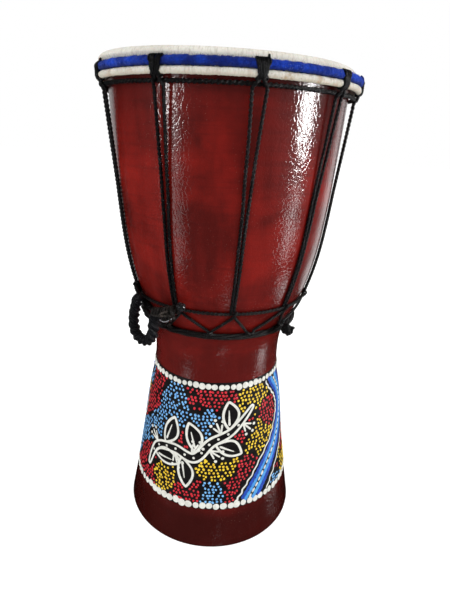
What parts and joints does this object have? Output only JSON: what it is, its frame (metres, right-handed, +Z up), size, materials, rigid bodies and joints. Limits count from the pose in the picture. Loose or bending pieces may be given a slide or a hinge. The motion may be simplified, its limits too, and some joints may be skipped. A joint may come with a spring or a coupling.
{
  "type": "djembe",
  "caption": "Rope-tuned goblet hand drum: turned wooden shell, goat skin head on hooped cord lacing, painted foot band and a rope carry handle.",
  "frame": {"origin": "centre of the foot's flat rim, on the surface that the drum stands on", "axes": "+Z up the drum's axis to the head; -Y is the front, where the painted figure band faces; +X to the right seen from the front"},
  "size_m": [0.253, 0.2525, 0.501],
  "materials": {
    "shell_wood": "gloss lacquer",
    "goat_skin": "matte",
    "hoop_steel": "satin",
    "blue_cloth": "fuzzy",
    "black_cord": "twisted polyester"
  },
  "bodies": {
    "drum": {"shell": "shell_wood", "drum_skin": "goat_skin", "bottom_hoop": "hoop_steel", "bottom_wrap": "black_cord", "lower_cord": "black_cord", "handle_tie": "black_cord", "handle_knot": "black_cord", "melted_end": "black_cord", "tail_cord": "black_cord", "tail_knot": "black_cord", "vertical_cord_1_left": "black_cord", "vertical_cord_1_right": "black_cord", "vertical_cord_2_left": "black_cord", "vertical_cord_2_right": "black_cord", "vertical_cord_3_left": "black_cord", "vertical_cord_3_right": "black_cord", "vertical_cord_4_left": "black_cord", "vertical_cord_4_right": "black_cord", "vertical_cord_5_left": "black_cord", "vertical_cord_5_right": "black_cord", "vertical_cord_6_left": "black_cord", "vertical_cord_6_right": "black_cord", "vertical_cord_7_left": "black_cord", "vertical_cord_7_right": "black_cord", "vertical_cord_8_left": "black_cord", "vertical_cord_8_right": "black_cord", "vertical_cord_9_left": "black_cord", "vertical_cord_9_right": "black_cord", "vertical_cord_10_left": "black_cord", "vertical_cord_10_right": "black_cord", "cradle_loop_1": "black_cord", "cradle_loop_2": "black_cord", "cradle_loop_3": "black_cord", "cradle_loop_4": "black_cord", "cradle_loop_5": "black_cord", "cradle_loop_6": "black_cord", "cradle_loop_7": "black_cord", "cradle_loop_8": "black_cord", "cradle_loop_9": "black_cord", "cradle_loop_10": "black_cord"},
    "head_ring": {"crown_hoop": "hoop_steel", "crown_wrap": "blue_cloth", "flesh_hoop": "hoop_steel", "top_cord": "black_cord", "crown_loop_1": "black_cord", "crown_loop_2": "black_cord", "crown_loop_3": "black_cord", "crown_loop_4": "black_cord", "crown_loop_5": "black_cord", "crown_loop_6": "black_cord", "crown_loop_7": "black_cord", "crown_loop_8": "black_cord", "crown_loop_9": "black_cord", "crown_loop_10": "black_cord"},
    "handle": {"carry_handle": "black_cord"}
  },
  "joints": [
    {"name": "head_tension", "type": "slide", "parent": "drum", "child": "head_ring", "axis": [0, 0, -1], "range_m": [0, 0.006], "deforming": ["drum_skin", "vertical_cord_1_left", "vertical_cord_1_right", "vertical_cord_2_left", "vertical_cord_2_right", "vertical_cord_3_left", "vertical_cord_3_right", "vertical_cord_4_left", "vertical_cord_4_right", "vertical_cord_5_left", "vertical_cord_5_right", "vertical_cord_6_left", "vertical_cord_6_right", "vertical_cord_7_left", "vertical_cord_7_right", "vertical_cord_8_left", "vertical_cord_8_right", "vertical_cord_9_left", "vertical_cord_9_right", "vertical_cord_10_left", "vertical_cord_10_right"]},
    {"name": "handle_swing", "type": "hinge", "parent": "drum", "child": "handle", "pos_m": [-0.0832, -0.06156, 0.291], "axis": [-0.6672, 0.6499, 0.3639], "range_deg": [-12, 75]}
  ]
}
